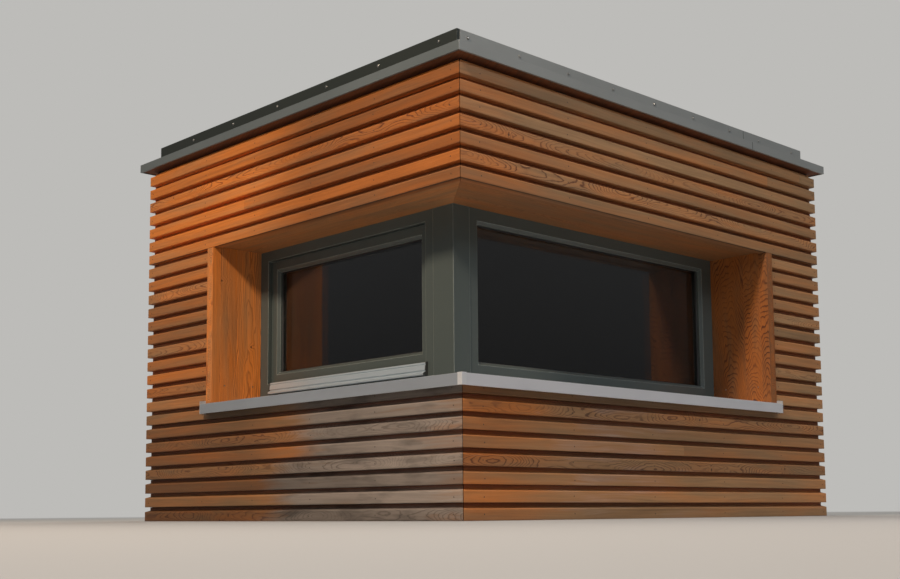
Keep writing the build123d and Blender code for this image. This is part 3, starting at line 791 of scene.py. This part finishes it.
def ring_of(wing, near, far, low, high, section):
    """Closed frame of bars round a rectangle of a wing.

    section is (inward from the rectangle's edge, depth). Each side is a bar whose two end rings
    are cut on the diagonal, so that the four meet in mitres.
    """
    inset, depth = np.array(section).T
    corners = np.array([(near, low), (far, low), (far, high), (near, high)])
    toward = np.sign(corners.mean(0) - corners)
    spots = corners[:, None] + toward[:, None] * inset[None, :, None]
    rings = [place(wing, spot[:, 0], depth, spot[:, 1]) for spot in spots]
    return [np.stack([rings[i], rings[(i + 1) % 4]]) for i in range(4)]


def glass(name, colour):
    """Float glass: flat and clear, with a faint tint, or a deep tint as painted shade."""
    material, node = new_material(name)
    surface = node("BsdfPrincipled", named={"Base Color": linear(colour), "Roughness": 0.0,
                                            "IOR": 1.52, "Transmission Weight": 1.0})
    node("OutputMaterial", surface)
    return material


float_glass = glass("float_glass", "#d3d2cf")
# the deep tint of the inner sheet is painted shade for the dark room behind it
shade_tinted_glass = glass("shade_tinted_float_glass", "#6c6761")
# both are dull and dark, so that the edge of the pane is quiet
spacer_bar = metal("spacer_bar_plastic", "#3a3c3d", 0.5, 0.0)
gasket_rubber = metal("gasket_rubber", "#141414", 0.62, 0.0)
# what shows of a pane: near and far side, low and high, and the depth of its face
pane = {"left": (0.487, 1.379, 0.623, 1.051, 0.283), "right": (0.374, 1.762, 0.574, 1.088, 0.314)}
unit_thick, sheet_thick, rebate = 24 * mm, 4 * mm, 11.7 * mm
for wing, (near, far, low, high, face) in pane.items():
    cavity_front, cavity_back = face + sheet_thick, face + unit_thick - sheet_thick
    for title, start, tint in (("outer", face + 0.1 * mm, float_glass),
                               ("inner", cavity_back - 0.1 * mm, shade_tinted_glass)):
        sheet = plate(wing, near - rebate, far + rebate, start, start + sheet_thick,
                      low - rebate, high + rebate)
        piece = bars_mesh(f"{title}_sheet_{wing}", [sheet], tint)
        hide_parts(f"glass_{wing}")
    first, last = cavity_front + 0.2 * mm, cavity_back - 0.2 * mm
    bar = [(-9 * mm, first), (1.5 * mm, first), (1.5 * mm, last), (-9 * mm, last)]
    bars_mesh(f"spacer_bar_{wing}", ring_of(wing, near, far, low, high, bar), spacer_bar)
    lips = []
    for d, sign in ((face, -1), (face + unit_thick, 1)):
        lip = rounded([(0, d), (4.5 * mm, d), (3.0 * mm, d + sign * 2.2 * mm),
                       (0, d + sign * 5 * mm)], 0.7 * mm, 2)
        lips += ring_of(wing, near, far, low, high, lip)
    bars_mesh(f"glass_gasket_{wing}", lips, gasket_rubber)
    print(f"pane {wing}: {far - near:.3f} x {high - low:.3f} m")

# %% [markdown]
# Finishes of the CAD pieces. The frames are painted timber in a satin grey green, with a painted
# highlight on their rounded edges. The flashing is grey coated sheet with a soft sheen, darker on
# the left wing as painted shade. The sill is silver anodised aluminium, which looks like pale
# satin, darker on the left wing as painted shade and with a painted highlight on its edges, and the
# drip rail plain extruded aluminium with fine die lines along it. Membrane and vent sheet stay
# black in the grooves. On the room side painted board is matt and lacquer glossy.

# %% Finishes
# its pale edge colour is a painted highlight
frame_paint = metal("satin_frame_paint", "#4b5350", 0.36, 0.0, scale=20.0, relief=0.08 * mm,
                    spread=0.06, edge=2.6 * mm, edge_highlight="#a3aca6")
# painted shadow of the eaves: the left sheet is darker than the right, and darker still on its
# upstand from 1.600 m up
folded = {"scale": 14.0, "relief": 0.06 * mm, "edge": 1.5 * mm}
coated_sheet = {
    "left": metal("grey_coated_sheet_left", "#6e7677", 0.40, 0.35, spread=0.10,
                  above=(1.600, "#353a36"), **folded),
    "right": metal("grey_coated_sheet_right", "#949794", 0.42, 0.35, spread=0.08, **folded),
}
smooth = {"scale": 24.0, "relief": 0.05 * mm}
# the left sill is painted darker and bluer than the right as painted shade, and the edge colours of
# both are painted highlights
anodised = {
    "left": metal("anodised_aluminium_left", "#aeb6bf", 0.36, 0.5, spread=0.07, edge=2.0 * mm,
                  edge_highlight="#d5dade", **smooth),
    "right": metal("anodised_aluminium_right", "#e6e7ea", 0.34, 0.45, spread=0.05, edge=2.0 * mm,
                   edge_highlight="#f6f4f2", **smooth),
}
bright_cap = metal("bright_aluminium_cap", "#e8eaec", 0.34, 0.4, spread=0.04, edge=1.5 * mm,
                   **smooth)
extruded = metal("extruded_aluminium", "#c4d0d6", 0.30, 0.5, relief=0.1 * mm,
                 streak=(0.03, 1.0, 1.0), edge=0.8 * mm)
cap_plastic = metal("grey_cap_plastic", "#a2a4a5", 0.5, 0.0)
membrane = metal("facade_membrane_black", "#151516", 0.75, 0.0)
vent_sheet = metal("black_vent_sheet", "#202020", 0.5, 0.4)
plaster = metal("painted_gypsum_board", "#e4e2dc", 0.75, 0.0, 90.0, 0.4 * mm, 0.03)
lacquer = metal("white_lacquer", "#e9e6df", 0.3, 0.0, 12.0, 0.04 * mm, 0.02)


def coat(material, *names):
    """Put one material on CAD nodes by name."""
    for name in names:
        nodes[name].data.materials.clear()
        nodes[name].data.materials.append(material)
    return len(names)


coated = coat(frame_paint, "window_frame_left", "window_frame_right", "sash_left",
              "glazing_bead_left", "glazing_bead_right", "corner_post", "corner_cover")
coated += coat(bright_cap, "sill_corner_cap", "sash_handle")
coated += coat(cap_plastic, "sill_end_caps")
coated += coat(membrane, "facade_membrane")
coated += coat(vent_sheet, "vent_strip")
for wing, timber in zip(wings, (spruce_along_x, spruce_along_y)):
    for title, material in (("flashing", coated_sheet[wing]), ("sill", anodised[wing]),
                            ("inner_lining", plaster), ("inner_board", lacquer),
                            ("battens", shade_dark_batten), ("pier", spruce_upright),
                            ("roof_deck", shade_dark_deck), ("parapet", timber),
                            ("lintel", timber), ("sill_bed", timber)):
        coated += coat(material, f"{title}_{wing}")
print(coated, "CAD nodes coated")

# %% [markdown]
# The drip rail is an extruded profile: a crown under the sash, a slightly sloped web, a small
# groove and a long nose that throws the water clear of the frame. The CAD section leaves out the
# groove and the steps, so the sweep of the full section takes its place, with a dark plastic cap at
# each end. The right flashing is made of two lengths, and thin lines of sealant show where they
# meet.

# %% Drip rail and joints of the flashing
rail_low = 0.529
rail_profile = [(0.0, 0.0), (20.0, 0.0), (20.0, 6.5), (18.5, 8.0), (11.5, 12.5), (8.0, 13.5),
                (8.0, 17.0), (11.5, 18.0), (11.0, 22.0), (9.0, 36.0), (6.5, 37.5), (6.5, 39.5),
                (9.5, 41.0), (8.5, 46.0), (4.0, 48.0), (0.0, 48.0)]
rail_reach, rail_rise = np.array(rail_profile).T * mm
rail = nodes["drip_rail"]
rail_x = [(rail.matrix_world @ Vector(spot)).x for spot in rail.bound_box]
rail_near, rail_far = corner_x - max(rail_x), corner_x - min(rail_x)
cap_long, cap_grow = 3.9 * mm, 1 * mm


def rail_bar(near, far, grow):
    """The section from near to far along the left wing, its front, top and foot grown a little."""
    out = np.where(rail_reach > 0, rail_reach + grow, 0.2 * mm)
    up = rail_low + rail_rise + np.where(rail_rise > 24 * mm, grow, -grow)
    return np.stack([place("left", along, window_depth["left"] - out, up) for along in (near, far)])


dark_plastic = metal("dark_cap_plastic", "#343634", 0.5, 0.0)
web = bars_mesh("drip_rail_profile", [rail_bar(rail_near + 4 * mm, rail_far - 4 * mm, 0.0)],
                extruded)
caps = bars_mesh("drip_rail_caps", [rail_bar(rail_near, rail_near + cap_long, cap_grow),
                                    rail_bar(rail_far - cap_long, rail_far, cap_grow)],
                 dark_plastic)
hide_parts("drip_rail")
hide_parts("drip_rail")
upstand_face, fascia_face = wall_depth["right"] - 1.5 * mm, -flashing_proud
proud = 0.3 * mm
seams = [plate("right", along, along + 2 * mm, face - proud, face + proud, low, high)
         for along, face, low, high in ((1.828, upstand_face, 1.625, 1.697),
                                        (1.716, fascia_face, 1.565, 1.597))]
bars_mesh("flashing_seams_right", seams, gasket_rubber)
print("drip rail from", round(rail_near, 4), "to", round(rail_far, 4))

# %% [markdown]
# The studio is plain: a pale floor that runs over into the background, a key light high on the left
# wing's side, a wider and cooler fill on the right, a top light and a gentle light on the room
# side. The sky is pale where the camera looks straight at it. Low down it is dim to the side, as a
# garden would be, which keeps the panes dark.

# %% Studio
background = "#bdbcb9"
sweep_start, sweep_end = 3.0, 11.0


def studio_floor(half=30.0):
    """A square of 60 m at the height the part stands on.

    Between two distances it runs over into the colour of the background, as a studio sweep does.
    """
    mesh = bpy.data.meshes.new("floor")
    corners = [(-half, -half, 0), (half, -half, 0), (half, half, 0), (-half, half, 0)]
    mesh.from_pydata(corners, [], [(0, 1, 2, 3)])
    floor = bpy.data.objects.new("floor", mesh)
    bpy.context.scene.collection.objects.link(floor)
    material, node = new_material("pale_floor")
    surface = node("BsdfPrincipled", named={"Base Color": linear("#a9a8a5"), "Roughness": 0.9})
    away = node("VectorMath LENGTH", node("TexCoord").outputs["Object"])
    blend = node("MapRange", away, sweep_start, sweep_end, interpolation_type="SMOOTHSTEP")
    glow = node("Emission", linear(background))
    node("OutputMaterial", node("MixShader", blend, surface, glow))
    mesh.materials.append(material)


def soft_light(name, direction, distance, size, power, colour):
    """A square area light that looks at the middle of the bay from a direction."""
    lamp = bpy.data.lights.new(name, "AREA")
    lamp.size, lamp.energy, lamp.color = size, power, linear(colour)[:3]
    light = bpy.data.objects.new(name, lamp)
    bpy.context.scene.collection.objects.link(light)
    middle = Vector((0.2, -0.2, 0.85))
    light.location = middle + Vector(direction).normalized() * distance
    light.rotation_euler = (middle - light.location).to_track_quat("-Z", "Y").to_euler()


studio_floor()
# direction, then distance and size in metres, and power in watts
soft_light("key", (0.27, -0.80, 0.56), 7.0, 0.8, 345, "#ffe8d0")
soft_light("fill", (1.0, -0.05, 0.62), 6.5, 2.2, 98, "#f4f6ff")
soft_light("top", (0.1, -0.1, 1.0), 6.0, 4.0, 70, "#ffffff")
soft_light("room_side", (-0.6, 0.6, 1.0), 6.5, 2.5, 170, "#fff6ea")

world = bpy.data.worlds.new("soft_sky")
bpy.context.scene.world = world
world.use_nodes = True
world.node_tree.nodes.clear()
node = partial(add, world.node_tree)
height = node("SeparateXYZ", node("TexCoord").outputs["Generated"]).outputs["Z"]
band = stops(node("ValToRGB", height), (0.0, "#404246"), (0.25, "#75787c"), (0.7, "#b9bcc0"),
             (1.0, "#d8d8d8"))
dim = node("Background", band, 0.55)
plain = node("Background", linear(background), 1.0)
seen = node("LightPath").outputs["Is Camera Ray"]
node("OutputWorld", node("MixShader", seen, dim, plain))
bpy.context.scene.view_settings.view_transform = "Standard"
print("lights:", [lamp.name for lamp in bpy.data.lights])

# %% [markdown]
# The camera stands where the photographer stood: 4.1 m from the corner, close to the height of the
# underside of the bay, and looks up a little along the bisector of the corner. Its values come
# from lines that were fitted to the slats.

# %% Camera
heading, pitch, roll = np.radians([46.360, 5.995, -0.452])
focal_pixels, frame_pixels, sensor = 1256.5, 900, 36.0
spot = (corner_x + 2.9349, corner_y - 2.8538, 0.0298)
level = np.cos(pitch)
forward = np.array([-np.sin(heading) * level, np.cos(heading) * level, np.sin(pitch)])
side = np.array([np.cos(heading), np.sin(heading), 0.0])
up = np.cross(side, forward)
side, up = np.cos(roll) * side + np.sin(roll) * up, np.cos(roll) * up - np.sin(roll) * side
lens = bpy.data.cameras.new("camera")
lens.lens, lens.sensor_width, lens.shift_y = focal_pixels / frame_pixels * sensor, sensor, 0.1006
camera = bpy.data.objects.new("camera", lens)
camera.matrix_world = Matrix(np.vstack([np.stack([side, up, -forward, spot], 1), (0, 0, 0, 1)]))
bpy.context.scene.collection.objects.link(camera)
bpy.context.scene.camera = camera
print("lens of", round(lens.lens, 2), "mm")
